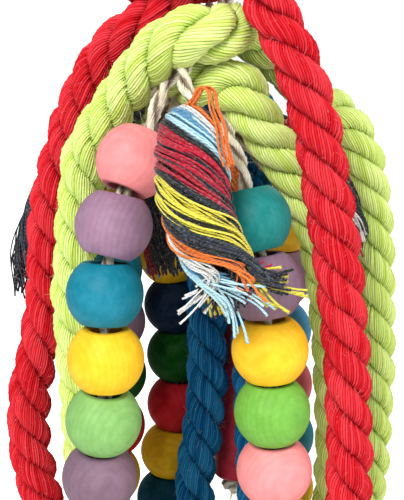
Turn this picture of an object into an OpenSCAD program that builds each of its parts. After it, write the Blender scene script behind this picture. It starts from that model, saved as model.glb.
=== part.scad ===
// Hanging bird swing of soft three-strand cotton rope: four rope loops gathered
// at a neck, strings of dyed wooden beads between them, yarn tassels, and a
// steel quick link with a welded ring at the top.
// Origin: where the cage bar bears on the inside top of the quick link.
// +Z is up, +X is to the right and +Y to the back.

/* [Quick link] */
// Diameter of the quick link's wire
link_wire = 5; // [4:0.5:6]
// Clear width inside the quick link
link_inner_w = 12; // [10:0.5:16]
// Clear length inside the quick link
link_inner_l = 39; // [34:1:50]
// Opening in the link's side when the sleeve nut is run back
link_gap = 7; // [5:0.5:8]
// Size of the sleeve nut across its flats
nut_flats = 8.5; // [7.5:0.5:10]
// Length of the sleeve nut
nut_l = 12; // [10:0.5:12]
// Play between the nut's bore and the link's wire
nut_play = 0.05; // [0.03:0.01:0.1]

/* [Hanging ring] */
// Diameter of the ring's wire
ring_wire = 4.8; // [4:0.2:5]
// Inner diameter of the ring
ring_inner_d = 30; // [28:1:36]
// Play where the link, the ring and the rope hang in each other
hang_play = 0.3; // [0.2:0.05:0.5]

/* [Rope] */
// Diameter of the four rope loops
rope_d = 16; // [12:0.5:16]

/* [Beads] */
// Widest diameter of a bead
bead_d = 25; // [20:0.5:25.5]
// Height of a bead between its flat ends
bead_h = 20; // [16:0.5:20.5]
// Diameter of the hole through a bead
bead_bore = 10; // [7:0.5:11]
// Space between two beads on a string
bead_gap = 0.5; // [0.3:0.1:0.8]

/* [Sisal cord] */
// Diameter of the sisal cord that carries the beads
sisal_d = 4.6; // [3:0.2:5]
// Diameter of the sisal core in the neck
core_d = 7; // [5:0.5:8]
// Diameter of the stop knot under each string
knot_d = 13; // [11:0.5:14]
// Height of the stop knot
knot_h = 7; // [5:0.5:8]
// Length of the frayed tail under the knot
tail_l = 5; // [3:0.5:6]

/* [Chew dowel] */
// Diameter of the wooden chew dowel
dowel_d = 18; // [14:0.5:18.5]
// Length of the chew dowel
dowel_l = 84; // [60:1:86]
// Diameter of the hole along the dowel
dowel_bore = 7; // [6:0.5:9]

/* [Tassels] */
// Greatest thickness of the front tassel
tassel_front_d = 23; // [18:0.5:23]
// Greatest thickness of the other tassels
tassel_side_d = 18; // [14:0.5:18]

/* [Hidden] */
$fn = 64;
rope_sides = 12;
cord_sides = 8;
overrun = 1;

// Heights of the steel parts, from the bearing point down
link_bottom_z = -link_inner_l;
link_pivot_z = link_bottom_z - link_wire / 2;
ring_r = (ring_inner_d + ring_wire) / 2;
ring_z = link_bottom_z + hang_play + ring_wire / 2 - ring_r;
ring_low_z = ring_z - ring_r;
eye_r = ring_wire / 2 + hang_play + rope_d / 2;

// Length of straight wire above the sleeve nut's gap
nut_lead = 2.5;
// Number of stretches in the eye over the ring
eye_turns = 5;
// Bead pitch that the routes are drawn for
drawn_pitch = 20.5;
// Height below which the routes stretch with the bead pitch
drop_z = -140;
// Space between the dowel's cord and the lead that it swings from
swing_gap = 1.5;

// Routes of the rope loops: each is closed, and starts at the bottom
red_route = [
    [-9, -8, -345], [-33, 1, -337], [-51, 7, -317], [-62, 10, -293],
    [-67, 11, -270], [-67, 11, -250], [-63, 11, -232], [-59, 10, -212],
    [-58, 10, -193], [-56, 9, -174], [-51, 8, -156], [-44, 5, -138],
    [-35, 0, -122], [-24, -7, -113], [-14, -10, -107], [-7, -8, -96],
    [-9, -3, -84]
];
red_wrap_route = [
    [13, -5, -79], [7, -22, -83], [-10, -27, -88], [-24, -15, -91],
    [-22, 3, -97], [-6, 11, -97], [12, 7, -94], [22, -7, -94],
    [19, -23, -96], [19, -31, -105], [25, -33, -116], [32, -34, -134],
    [36, -34, -150], [39, -34, -167], [42, -34, -184], [44, -34, -200],
    [46, -34, -217], [47, -34, -235], [48, -34, -252], [48, -34, -270],
    [49, -32, -290], [40, -25, -315], [18, -17, -337]
];
green_front_route = [
    [2, -8, -320], [-20, -8, -314], [-37, -8, -298], [-43, -8, -277],
    [-45, -8, -243], [-46, -8, -224], [-47, -8, -206], [-46, -8, -189],
    [-44, -9, -171], [-41, -11, -154], [-31, -17, -138], [-20, -25, -123],
    [-9, -30, -115], [1, -30, -114], [7, -21, -113], [9, -9, -113],
    [6, 1, -115], [-3, 5, -118], [-11, 2, -123], [-12, -7, -127],
    [-6, -17, -130], [3, -20, -129], [10, -21, -132], [15, -20, -140],
    [21, -17, -149], [29, -14, -161], [35, -12, -173], [40, -10, -189],
    [43, -9, -206], [45, -8, -224], [46, -8, -243], [47, -8, -265],
    [46, -8, -286], [39, -8, -305], [24, -8, -317]
];
green_back_route = [
    [13, 47, -352], [-15, 51, -347], [-37, 53, -328], [-43, 53, -297],
    [-42, 53, -270], [-41, 53, -245], [-40, 52, -220], [-39, 51, -195],
    [-36, 48, -170], [-30, 42, -148], [-20, 33, -131], [-7, 25, -119],
    [8, 21, -114], [21, 25, -121], [33, 31, -132], [43, 37, -141],
    [51, 39, -147], [58, 40, -158], [64, 41, -182], [66, 41, -210],
    [67, 41, -240], [67, 41, -270], [65, 41, -300], [56, 42, -325],
    [38, 44, -343]
];
blue_route = [
    [8, 32, -324], [-3, 32, -313], [-5, 33, -295], [-2, 33, -272],
    [0, 32, -250], [0, 32, -225], [0, 32, -200], [-2, 30, -172],
    [-6, 25, -151], [-4, 24, -140], [6, 23, -132], [16, 24, -140],
    [18, 25, -151], [17, 30, -172], [17, 32, -200], [17, 32, -225],
    [18, 32, -250], [19, 33, -272], [20, 33, -295], [19, 32, -313]
];

// Ends of the sisal core in the neck
core_top = [-1, -7, -111];
core_low = [-1, -7, -134];

// Sisal tie that carries the blue and the back green loop: closed
tie_route = [
    [-1, -6, -130], [4, 6, -136], [6, 22, -144], [6, 32, -143],
    [7, 38, -130], [7, 34, -112], [7, 23, -104], [3, 11, -107],
    [-1, -1, -106], [-2, -7, -110]
];

// Sisal leads from the neck to the top bead of each string
lead_front_left_route = [
    [-6, -20, -121], [-13, -26, -129], [-16, -28, -135], [-18, -29, -141]
];
lead_front_right_route = [
    [2, -8, -133], [5, -15, -139], [7, -24, -147], [11, -33, -156]
];
lead_mid_left_route = [
    [-4, -7, -132], [-14, 2, -141], [-24, 12, -151], [-33, 20, -163]
];
lead_back_left_route = [
    [-3, -3, -129], [-12, 10, -137], [-18, 27, -149], [-18, 44, -162]
];
lead_mid_right_route = [[2, -5, -133], [9, 0, -146], [17, 5, -157], [24, 9, -165]];

// Sisal leads from the neck to the dowel and into the fold of each tassel
lead_dowel_route = [[9, 36, -144], [10, 44, -150], [12, 51, -164], [12, 54, -180]];
lead_tassel_front_route = [[-6, -20, -122], [-8, -34, -127], [-5, -43, -135]];
lead_tassel_left_route = [[-3, -2, -130], [-13, 11, -133], [-21, 17, -136]];
lead_tassel_right_route = [[3, -2, -130], [8, 3, -136], [13, 6, -141]];
lead_inner_left_route = [[-2, -8, -133], [-8, -9, -137], [-12, -8, -141]];
lead_inner_right_route = [[1, -8, -133], [3, -9, -138], [4, -10, -144]];

// Lines that the bead strings hang on, from the mouth of the top bead down
string_front_left_route = [
    [-20, -30, -146], [-24, -34, -155], [-30, -40, -173], [-33, -43, -193],
    [-33, -45, -214], [-34, -44, -235], [-36, -42, -255], [-36, -39, -276]
];
string_front_right_route = [
    [12, -38, -163], [14, -40, -172], [18, -43, -193], [20, -44, -214],
    [21, -44, -236], [22, -43, -257], [23, -41, -277], [20, -40, -298]
];
string_mid_left_route = [
    [-36, 23, -172], [-37, 23, -200], [-36, 24, -225], [-36, 24, -250],
    [-37, 24, -270], [-39, 24, -290], [-38, 24, -310]
];
string_back_left_route = [
    [-16, 52, -173], [-15, 52, -200], [-13, 52, -223], [-12, 52, -245],
    [-12, 52, -265], [-15, 52, -287], [-17, 52, -310]
];
string_mid_right_route = [
    [27, 10, -172], [26, 11, -200], [26, 11, -225], [27, 11, -250],
    [28, 12, -270], [28, 12, -290], [28, 13, -310]
];
string_dowel_route = [
    [12, 54, -196], [12, 54, -240], [12, 54, -280], [12, 54, -320]
];

// Middle lines of the tassels, from the fold down, and their thickness
tassel_front_route = [
    [-5, -46, -138], [-6, -54, -144], [-5, -60, -153], [-4, -64, -163],
    [0, -66, -174], [6, -68, -186], [13, -70, -198]
];
tassel_left_route = [
    [-24, 19, -139], [-36, 25, -147], [-49, 31, -159], [-59, 36, -173],
    [-65, 37, -188], [-68, 36, -203], [-69, 35, -217]
];
tassel_right_route = [
    [16, 8, -144], [23, 9, -148], [31, 11, -153], [40, 15, -161],
    [47, 19, -172], [51, 21, -185], [52, 22, -198]
];
tassel_inner_left_route = [
    [-13, -8, -145], [-13, -8, -152], [-14, -7, -161], [-14, -7, -170],
    [-14, -7, -179], [-14, -7, -189], [-14, -7, -198]
];
tassel_inner_right_route = [
    [4, -11, -148], [5, -11, -155], [6, -11, -164], [6, -11, -175],
    [6, -11, -187], [6, -11, -199], [6, -11, -211]
];
tassel_share = [0.62, 0.86, 0.96, 0.9, 0.9, 1, 0.8];
tail_spread_share = 1.5;

// Places of the beads along a string, straight on and where it bends
first_bead_along = bead_h / 2 - bead_gap;
bead_pitch = bead_h + bead_gap;
bead_flat_r = sqrt(max(bead_d * bead_d - bead_h * bead_h, 0)) / 2;
beads_a_string = 7;

// Route with its lower part stretched to the bead pitch
function hung(route) = [
    for (p = route)
        [p[0], p[1], max(p[2], drop_z)
            + min(p[2] - drop_z, 0) * bead_pitch / drawn_pitch]
];

// Point t of the way from point b to point c of a smooth curve
function curve_point(a, b, c, d, t) =
    (2 * b + (c - a) * t + (2 * a - 5 * b + 4 * c - d) * t * t
    + (3 * b - a - 3 * c + d) * t * t * t) / 2;

// Smooth open curve through points p, with n steps in each stretch
function open_curve(p, n) = concat(
    [for (i = [0 : len(p) - 2], k = [0 : n - 1])
        curve_point(
            p[max(i - 1, 0)], p[i], p[i + 1],
            p[min(i + 2, len(p) - 1)], k / n
        )],
    [p[len(p) - 1]]
);

// Smooth closed curve through points p, with n steps in each stretch
function closed_curve(p, n) = [
    for (i = [0 : len(p) - 1], k = [0 : n - 1])
        let (m = len(p))
        curve_point(
            p[(i + m - 1) % m], p[i], p[(i + 1) % m], p[(i + 2) % m], k / n
        )
];

function unit(v) = v / norm(v);

// Directions along a path, and side directions that turn with it least
function headings(path, closed) =
    let (m = len(path))
    [for (i = [0 : m - 1])
        closed ? unit(path[(i + 1) % m] - path[(i + m - 1) % m])
        : unit(path[min(i + 1, m - 1)] - path[max(i - 1, 0)])];
function square_to(v, t) = unit(v - t * (v * t));
function first_side(t) = square_to(abs(t[2]) > 0.7 ? [1, 0, 0] : [0, 0, 1], t);
function sides_along(t) = [
    for (i = 0, s = first_side(t[0]); i < len(t);
        i = i + 1, s = i < len(t) ? square_to(s, t[i]) : s) s
];

// Angle that closes a ring of side directions without a seam
function closing_turn(t, s) =
    let (last = square_to(s[len(s) - 1], t[0]))
    atan2(cross(last, s[0]) * t[0], last * s[0]);

// Solid tube along a path, with radius r[i] at each of its points
module tube(path, r, closed, sides) {
    m = len(path);
    t = headings(path, closed);
    s = sides_along(t);
    turn = closed ? closing_turn(t, s) : 0;
    rings = [
        for (i = [0 : m - 1], k = [0 : sides - 1])
            let (a = 360 * k / sides + turn * i / m)
            path[i] + r[i] * (cos(a) * s[i] + sin(a) * cross(t[i], s[i]))
    ];
    walls = [
        for (i = [0 : closed ? m - 1 : m - 2], k = [0 : sides - 1])
            let (
                j = (i + 1) % m,
                q = (k + 1) % sides,
                a = i * sides + k,
                b = i * sides + q,
                c = j * sides + q,
                d = j * sides + k
            )
            each [[a, c, b], [a, d, c]]
    ];
    ends = closed ? [] : [
        [for (k = [0 : sides - 1]) k],
        [for (k = [0 : sides - 1]) m * sides - 1 - k]
    ];
    polyhedron(points = rings, faces = concat(walls, ends), convexity = 8);
}

// Loop of thick rope
module rope_loop(route, steps) {
    path = closed_curve(hung(route), steps);
    tube(path, [for (p = path) rope_d / 2], true, rope_sides);
}

// Stretch of sisal cord
module sisal_run(route, steps, closed) {
    path = closed ? closed_curve(hung(route), steps) : open_curve(hung(route), steps);
    tube(path, [for (p = path) sisal_d / 2], closed, cord_sides);
}

// Place and direction at a length along a line, for what is threaded on it
function line_path(route) = open_curve(hung(route), 8);
function lengths_along(path) = [
    for (i = 0, l = 0; i < len(path);
        i = i + 1, l = i < len(path) ? l + norm(path[i] - path[i - 1]) : l) l
];
function place_along(path, lens, l) = [
    for (axis = [0 : 2])
        let (
            last = len(path) - 1,
            beyond = max(l - lens[last], 0),
            way = unit(path[last] - path[last - 1])
        )
        lookup(l, [for (i = [0 : last]) [lens[i], path[i][axis]]])
        + beyond * way[axis]
];
function way_at(path, lens, l) = unit(
    place_along(path, lens, max(l - bead_h / 2, 0))
    - place_along(path, lens, l + bead_h / 2)
);

// Length along the line at bead i: where the line bends, the flat ends tilt
// towards each other, and the beads keep clear at the rim
function bead_along(path, lens, i) =
    i == 1 ? first_bead_along
    : let (
        before = bead_along(path, lens, i - 1),
        bend = norm(way_at(path, lens, before) - way_at(path, lens, before + bead_pitch))
    )
    before + bead_pitch + bead_flat_r * bend;
function bead_place(route, i) =
    let (path = line_path(route), lens = lengths_along(path))
    place_along(path, lens, bead_along(path, lens, i));
function bead_way(route, i) =
    let (path = line_path(route), lens = lengths_along(path))
    way_at(path, lens, bead_along(path, lens, i));

// Moves and turns its children so that their +Z lies along way
module lay_along(place, way) {
    tilt = acos(max(min(way[2], 1), -1));
    turn = atan2(way[1], way[0]);
    translate(place) rotate([0, tilt, turn]) children();
}

// One turned wooden bead, centred on the origin
module bead_shape() {
    difference() {
        intersection() {
            sphere(d = bead_d);
            cube([bead_d, bead_d, bead_h], center = true);
        }
        cylinder(d = bead_bore, h = bead_h + overrun, center = true);
    }
}

module bead(route, i, tint) {
    color(tint) lay_along(bead_place(route, i), bead_way(route, i)) bead_shape();
}

// Cord through one string's beads, with its stop knot and frayed tail
module bead_cord(route) {
    places = [for (i = [1 : beads_a_string]) bead_place(route, i)];
    last = places[beads_a_string - 1];
    way = bead_way(route, beads_a_string);
    stop = last - way * (bead_h / 2 + bead_gap + knot_h / 2);
    start = places[0] + bead_way(route, 1) * bead_h / 4;
    string_end(concat([start], places, [stop]), stop, way);
}

module string_end(points, stop, way) {
    color("burlywood") {
        path = open_curve(points, 2);
        tube(path, [for (p = path) sisal_d / 2], false, cord_sides);
        lay_along(stop, way) {
            resize([knot_d, knot_d, knot_h]) sphere(d = knot_d, $fn = 12);
            translate([0, 0, -knot_h / 2 - tail_l])
                cylinder(d1 = sisal_d * tail_spread_share, d2 = sisal_d,
                    h = tail_l + knot_h / 4);
        }
    }
}

module quick_link() {
    side_x = (link_inner_w + link_wire) / 2;
    straight_l = link_inner_l - link_inner_w;
    top_bend_z = -link_inner_w / 2;
    color("silver") {
        link_bend(top_bend_z, 0);
        link_bend(top_bend_z - straight_l, 180);
        translate([-side_x, 0, top_bend_z - straight_l])
            cylinder(d = link_wire, h = straight_l);
        translate([side_x, 0, top_bend_z - straight_l])
            cylinder(d = link_wire, h = straight_l - nut_lead - link_gap);
        translate([side_x, 0, top_bend_z - nut_lead])
            cylinder(d = link_wire, h = nut_lead);
    }
}

// Half ring of wire at one end of the link
module link_bend(z, turn) {
    translate([0, 0, z]) rotate([90, turn, 0])
        rotate_extrude(angle = 180)
            translate([(link_inner_w + link_wire) / 2, 0]) circle(d = link_wire);
}

module link_nut() {
    side_x = (link_inner_w + link_wire) / 2;
    top_z = -link_inner_w / 2;
    color("gainsboro")
        translate([side_x, 0, top_z - nut_l])
            difference() {
                intersection() {
                    cylinder(d = nut_flats / cos(30), h = nut_l, $fn = 6);
                    nut_crown();
                }
                translate([0, 0, -overrun])
                    cylinder(d = link_wire + 2 * nut_play, h = nut_l + 2 * overrun);
            }
}

// Round envelope that bevels the nut's corners
module nut_crown() {
    bevel = (nut_flats / cos(30) - nut_flats) / 2;
    crown_r = nut_flats / cos(30) / 2;
    rotate_extrude()
        polygon([
            [0, 0], [crown_r - bevel, 0], [crown_r, bevel],
            [crown_r, nut_l - bevel], [crown_r - bevel, nut_l], [0, nut_l]
        ]);
}

module hanging_ring() {
    color("silver")
        translate([0, 0, ring_z]) rotate([0, 90, 0])
            rotate_extrude() translate([ring_r, 0]) circle(d = ring_wire);
}

// Eye of the red rope over the ring, from its left leg to its right leg
eye_route = [
    for (i = [0 : eye_turns])
        let (a = 180 - 180 * i / eye_turns)
        [eye_r * cos(a), 0, ring_low_z + eye_r * sin(a)]
];

module red_rope() {
    color("crimson")
        rope_loop(concat(red_route, eye_route, red_wrap_route), 3);
}

module green_rope_front() {
    color("yellowgreen") rope_loop(green_front_route, 3);
}

module green_rope_back() {
    color("yellowgreen") rope_loop(green_back_route, 3);
}

module blue_rope() {
    color("steelblue") rope_loop(blue_route, 3);
}

// Bundle of sisal that the front green rope is wound round
module neck_core() {
    color("burlywood")
        lay_along(core_low, unit(core_top - core_low)) {
            cylinder(d = core_d, h = norm(core_top - core_low));
            sphere(d = core_d);
        }
}

module rear_tie() {
    color("burlywood") sisal_run(tie_route, 3, false);
}

module sisal_leads() {
    color("burlywood") {
        lead(lead_front_left_route, string_front_left_route[0]);
        lead(lead_front_right_route, string_front_right_route[0]);
        lead(lead_mid_left_route, string_mid_left_route[0]);
        lead(lead_back_left_route, string_back_left_route[0]);
        lead(lead_mid_right_route, string_mid_right_route[0]);
        lead(lead_dowel_route, string_dowel_route[0]);
        sisal_run(lead_tassel_front_route, 2, false);
        sisal_run(lead_tassel_left_route, 2, false);
        sisal_run(lead_tassel_right_route, 2, false);
        sisal_run(lead_inner_left_route, 2, false);
        sisal_run(lead_inner_right_route, 2, false);
    }
}

// Lead that runs on into the mouth of what it carries
module lead(route, mouth) {
    sisal_run(concat(route, [mouth]), 2, false);
}

// Hank of yarn, folded at the top and loose below
module tassel(route, d) {
    path = open_curve(hung(route), 2);
    radii = [
        for (i = [0 : len(path) - 1])
            d / 2 * lookup(
                i / 2, [for (k = [0 : len(tassel_share) - 1]) [k, tassel_share[k]]]
            )
    ];
    tube(path, radii, false, rope_sides);
}

module tassel_front() {
    color("orange") tassel(tassel_front_route, tassel_front_d);
}

module tassel_left() {
    color("dimgray") tassel(tassel_left_route, tassel_side_d);
}

module tassel_right() {
    color("indianred") tassel(tassel_right_route, tassel_side_d);
}

module tassel_inner_left() {
    color("darkslateblue") tassel(tassel_inner_left_route, tassel_side_d);
}

module tassel_inner_right() {
    color("sandybrown") tassel(tassel_inner_right_route, tassel_side_d);
}

module cord_front_left() bead_cord(string_front_left_route);
module cord_front_right() bead_cord(string_front_right_route);
module cord_mid_left() bead_cord(string_mid_left_route);
module cord_back_left() bead_cord(string_back_left_route);
module cord_mid_right() bead_cord(string_mid_right_route);

// Middle of the chew dowel, hung under the first point of its line
dowel_drop = 18;
dowel_line = hung(string_dowel_route);
dowel_top = dowel_line[0];
dowel_way = unit(dowel_line[0] - dowel_line[3]);
dowel_middle = dowel_top - dowel_way * (dowel_l / 2 + dowel_drop);

module cord_dowel() {
    low = dowel_middle - dowel_way * (dowel_l / 2);
    stop = low - dowel_way * (bead_gap + knot_h / 2);
    start = dowel_top - dowel_way * swing_gap;
    string_end([start, dowel_middle, low, stop], stop, dowel_way);
}

module chew_dowel() {
    bevel = (dowel_d - dowel_bore) / 8;
    color("firebrick")
        lay_along(dowel_middle - dowel_way * (dowel_l / 2), dowel_way)
            rotate_extrude()
                polygon([
                    [dowel_bore / 2, 0], [dowel_d / 2 - bevel, 0],
                    [dowel_d / 2, bevel], [dowel_d / 2, dowel_l - bevel],
                    [dowel_d / 2 - bevel, dowel_l], [dowel_bore / 2, dowel_l]
                ]);
}

front_left_tints = [
    "lightcoral", "mediumpurple", "cadetblue", "gold", "lightgreen",
    "plum", "mediumturquoise"
];
front_right_tints = [
    "lightseagreen", "plum", "gold", "limegreen", "lightpink", "gold",
    "cadetblue"
];
mid_left_tints = [
    "goldenrod", "teal", "plum", "forestgreen", "firebrick", "goldenrod",
    "teal"
];
back_left_tints = [
    "darkred", "goldenrod", "midnightblue", "darkgreen", "firebrick",
    "goldenrod", "teal"
];
mid_right_tints = [
    "gold", "mediumpurple", "skyblue", "palevioletred", "steelblue",
    "gold", "limegreen"
];

quick_link();
link_nut();
hanging_ring();
red_rope();
green_rope_front();
green_rope_back();
blue_rope();
neck_core();
rear_tie();
sisal_leads();
tassel_front();
tassel_left();
tassel_right();
tassel_inner_left();
tassel_inner_right();
cord_front_left();
cord_front_right();
cord_mid_left();
cord_back_left();
cord_mid_right();
cord_dowel();
chew_dowel();
for (i = [1 : beads_a_string]) {
    bead(string_front_left_route, i, front_left_tints[i - 1]);
    bead(string_front_right_route, i, front_right_tints[i - 1]);
    bead(string_mid_left_route, i, mid_left_tints[i - 1]);
    bead(string_back_left_route, i, back_left_tints[i - 1]);
    bead(string_mid_right_route, i, mid_right_tints[i - 1]);
}
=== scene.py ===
"""Looks of the hanging bird swing: twisted cotton rope, turned beads, yarn tassels, sisal and steel."""

import math

import bpy
import numpy as np
from mathutils import Matrix, Vector


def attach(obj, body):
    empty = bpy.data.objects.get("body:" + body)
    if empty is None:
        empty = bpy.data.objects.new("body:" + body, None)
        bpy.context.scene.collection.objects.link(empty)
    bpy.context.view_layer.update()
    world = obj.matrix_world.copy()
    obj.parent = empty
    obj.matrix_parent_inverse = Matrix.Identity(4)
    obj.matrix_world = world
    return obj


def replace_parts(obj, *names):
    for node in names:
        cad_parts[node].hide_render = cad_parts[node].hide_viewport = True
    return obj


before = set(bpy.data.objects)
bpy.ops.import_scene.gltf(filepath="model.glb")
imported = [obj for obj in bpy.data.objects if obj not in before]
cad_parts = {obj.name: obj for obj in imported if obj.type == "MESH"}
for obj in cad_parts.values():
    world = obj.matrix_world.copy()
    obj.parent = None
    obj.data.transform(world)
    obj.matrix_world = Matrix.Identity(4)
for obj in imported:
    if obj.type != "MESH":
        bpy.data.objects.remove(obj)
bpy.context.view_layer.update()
MM = 0.001
TAU = 2 * math.pi


def new_object(name, data):
    """Object of the scene that holds the data."""
    thing = bpy.data.objects.new(name, data)
    bpy.context.collection.objects.link(thing)
    return thing


# Camera: distance, pitch and focal length that the beads' places in the photograph give
FOCUS = (-2, -6, -189)
DISTANCE = 410
PITCH = math.radians(12)
FOCAL_PX = 1170
FRAME_PX = 500
SENSOR = 36
CLIP_M = (0.01, 20)

camera_data = bpy.data.cameras.new("camera")
camera_data.sensor_width = SENSOR
camera_data.lens = FOCAL_PX * SENSOR / FRAME_PX
camera_data.clip_start, camera_data.clip_end = CLIP_M
camera = new_object("camera", camera_data)
camera.location = (
    FOCUS[0] * MM,
    (FOCUS[1] - DISTANCE * math.cos(PITCH)) * MM,
    (FOCUS[2] + DISTANCE * math.sin(PITCH)) * MM,
)
camera.rotation_euler = (math.pi / 2 - PITCH, 0, 0)
bpy.context.scene.camera = camera
bpy.context.scene.view_settings.view_transform = "Standard"

# Sizes, lays and steps, in millimetres
LINK_WIRE = 5
LINK_INNER_W = 12
LINK_INNER_L = 39
LINK_GAP = 7
THREAD_PITCH = 0.8
THREAD_DEPTH = 0.22
NUT_LEAD = 2.5
NUT_FLATS = 8.5
NUT_L = 12
RING_WIRE = 4.8
RING_INNER_D = 30
HANG_PLAY = 0.3
ROPE_D = 16
ROPE_SPREAD = 4.15
ROPE_STRAND_R = 3.95
ROPE_LAY = 37
ROPE_STEP = 1.6
SISAL_D = 4.6
BEAD_D = 25
BEAD_H = 20
BEAD_BORE = 10
BEAD_GAP = 0.5
KNOT_H = 7
CORD_TAIL = 3
DOWEL_D = 18
DOWEL_L = 84
DOWEL_BORE = 7
DOWEL_DROP = 18
SWING_GAP = 1.5
TASSEL_FRONT_D = 23
TASSEL_SIDE_D = 18
TASSEL_STEP = 1.2
YARN_R = 0.31

# Counts, and shapes of strands and yarns
BEADS_A_STRING = 7
EYE_TURNS = 5
CURVE_STEPS = 8
BEAD_SIDES = 64
DOWEL_SIDES = 72
WIRE_SIDES = 32
NUT_SIDES = 96
HAIR_KNOTS = 4
HAIR_SIDES = 3
YARN_SIDES = 6
ROPE_STRANDS = 3
ROPE_YARNS = 22
SISAL_STRANDS = 2
SISAL_YARNS = 9
ROPE_HAIRS_A_MM = 4
SISAL_HAIRS_A_MM = 1.2
RIDGE_SAMPLES = 3
RIDGE_GROOVE = 0.36
LAY_HAND = -1

ring_r = (RING_INNER_D + RING_WIRE) / 2
ring_z = HANG_PLAY + RING_WIRE / 2 - LINK_INNER_L - ring_r
ring_low_z = ring_z - ring_r
eye_r = RING_WIRE / 2 + HANG_PLAY + ROPE_D / 2
flat_r = math.sqrt(BEAD_D**2 - BEAD_H**2) / 2

# Routes of the ropes and cords, in millimetres, as the solids have them
RED_ROUTE = [
    [-9, -8, -345], [-33, 1, -337], [-51, 7, -317], [-62, 10, -293],
    [-67, 11, -270], [-67, 11, -250], [-63, 11, -232], [-59, 10, -212],
    [-58, 10, -193], [-56, 9, -174], [-51, 8, -156], [-44, 5, -138],
    [-35, 0, -122], [-24, -7, -113], [-14, -10, -107], [-7, -8, -96],
    [-9, -3, -84],
]
RED_WRAP_ROUTE = [
    [13, -5, -79], [7, -22, -83], [-10, -27, -88], [-24, -15, -91],
    [-22, 3, -97], [-6, 11, -97], [12, 7, -94], [22, -7, -94],
    [19, -23, -96], [19, -31, -105], [25, -33, -116], [32, -34, -134],
    [36, -34, -150], [39, -34, -167], [42, -34, -184], [44, -34, -200],
    [46, -34, -217], [47, -34, -235], [48, -34, -252], [48, -34, -270],
    [49, -32, -290], [40, -25, -315], [18, -17, -337],
]
GREEN_FRONT_ROUTE = [
    [2, -8, -320], [-20, -8, -314], [-37, -8, -298], [-43, -8, -277],
    [-45, -8, -243], [-46, -8, -224], [-47, -8, -206], [-46, -8, -189],
    [-44, -9, -171], [-41, -11, -154], [-31, -17, -138], [-20, -25, -123],
    [-9, -30, -115], [1, -30, -114], [7, -21, -113], [9, -9, -113],
    [6, 1, -115], [-3, 5, -118], [-11, 2, -123], [-12, -7, -127],
    [-6, -17, -130], [3, -20, -129], [10, -21, -132], [15, -20, -140],
    [21, -17, -149], [29, -14, -161], [35, -12, -173], [40, -10, -189],
    [43, -9, -206], [45, -8, -224], [46, -8, -243], [47, -8, -265],
    [46, -8, -286], [39, -8, -305], [24, -8, -317],
]
GREEN_BACK_ROUTE = [
    [13, 47, -352], [-15, 51, -347], [-37, 53, -328], [-43, 53, -297],
    [-42, 53, -270], [-41, 53, -245], [-40, 52, -220], [-39, 51, -195],
    [-36, 48, -170], [-30, 42, -148], [-20, 33, -131], [-7, 25, -119],
    [8, 21, -114], [21, 25, -121], [33, 31, -132], [43, 37, -141],
    [51, 39, -147], [58, 40, -158], [64, 41, -182], [66, 41, -210],
    [67, 41, -240], [67, 41, -270], [65, 41, -300], [56, 42, -325],
    [38, 44, -343],
]
BLUE_ROUTE = [
    [8, 32, -324], [-3, 32, -313], [-5, 33, -295], [-2, 33, -272],
    [0, 32, -250], [0, 32, -225], [0, 32, -200], [-2, 30, -172],
    [-6, 25, -151], [-4, 24, -140], [6, 23, -132], [16, 24, -140],
    [18, 25, -151], [17, 30, -172], [17, 32, -200], [17, 32, -225],
    [18, 32, -250], [19, 33, -272], [20, 33, -295], [19, 32, -313],
]
CORE_TOP = [-1, -7, -111]
CORE_LOW = [-1, -7, -134]
TIE_ROUTE = [
    [-1, -6, -130], [4, 6, -136], [6, 22, -144], [6, 32, -143],
    [7, 38, -130], [7, 34, -112], [7, 23, -104], [3, 11, -107],
    [-1, -1, -106], [-2, -7, -110],
]
LEAD_ROUTES = {
    "front_left": [[-6, -20, -121], [-13, -26, -129], [-16, -28, -135], [-18, -29, -141]],
    "front_right": [[2, -8, -133], [5, -15, -139], [7, -24, -147], [11, -33, -156]],
    "mid_left": [[-4, -7, -132], [-14, 2, -141], [-24, 12, -151], [-33, 20, -163]],
    "back_left": [[-3, -3, -129], [-12, 10, -137], [-18, 27, -149], [-18, 44, -162]],
    "mid_right": [[2, -5, -133], [9, 0, -146], [17, 5, -157], [24, 9, -165]],
    "dowel": [[9, 36, -144], [10, 44, -150], [12, 51, -164], [12, 54, -180]],
    "tassel_front": [[-6, -20, -122], [-8, -34, -127], [-5, -43, -135]],
    "tassel_left": [[-3, -2, -130], [-13, 11, -133], [-21, 17, -136]],
    "tassel_right": [[3, -2, -130], [8, 3, -136], [13, 6, -141]],
    "tassel_inner_left": [[-2, -8, -133], [-8, -9, -137], [-12, -8, -141]],
    "tassel_inner_right": [[1, -8, -133], [3, -9, -138], [4, -10, -144]],
}
STRING_ROUTES = {
    "front_left": [
        [-20, -30, -146], [-24, -34, -155], [-30, -40, -173], [-33, -43, -193],
        [-33, -45, -214], [-34, -44, -235], [-36, -42, -255], [-36, -39, -276],
    ],
    "front_right": [
        [12, -38, -163], [14, -40, -172], [18, -43, -193], [20, -44, -214],
        [21, -44, -236], [22, -43, -257], [23, -41, -277], [20, -40, -298],
    ],
    "mid_left": [
        [-36, 23, -172], [-37, 23, -200], [-36, 24, -225], [-36, 24, -250],
        [-37, 24, -270], [-39, 24, -290], [-38, 24, -310],
    ],
    "back_left": [
        [-16, 52, -173], [-15, 52, -200], [-13, 52, -223], [-12, 52, -245],
        [-12, 52, -265], [-15, 52, -287], [-17, 52, -310],
    ],
    "mid_right": [
        [27, 10, -172], [26, 11, -200], [26, 11, -225], [27, 11, -250],
        [28, 12, -270], [28, 12, -290], [28, 13, -310],
    ],
    "dowel": [[12, 54, z] for z in (-196, -240, -280, -320)],
}
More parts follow.
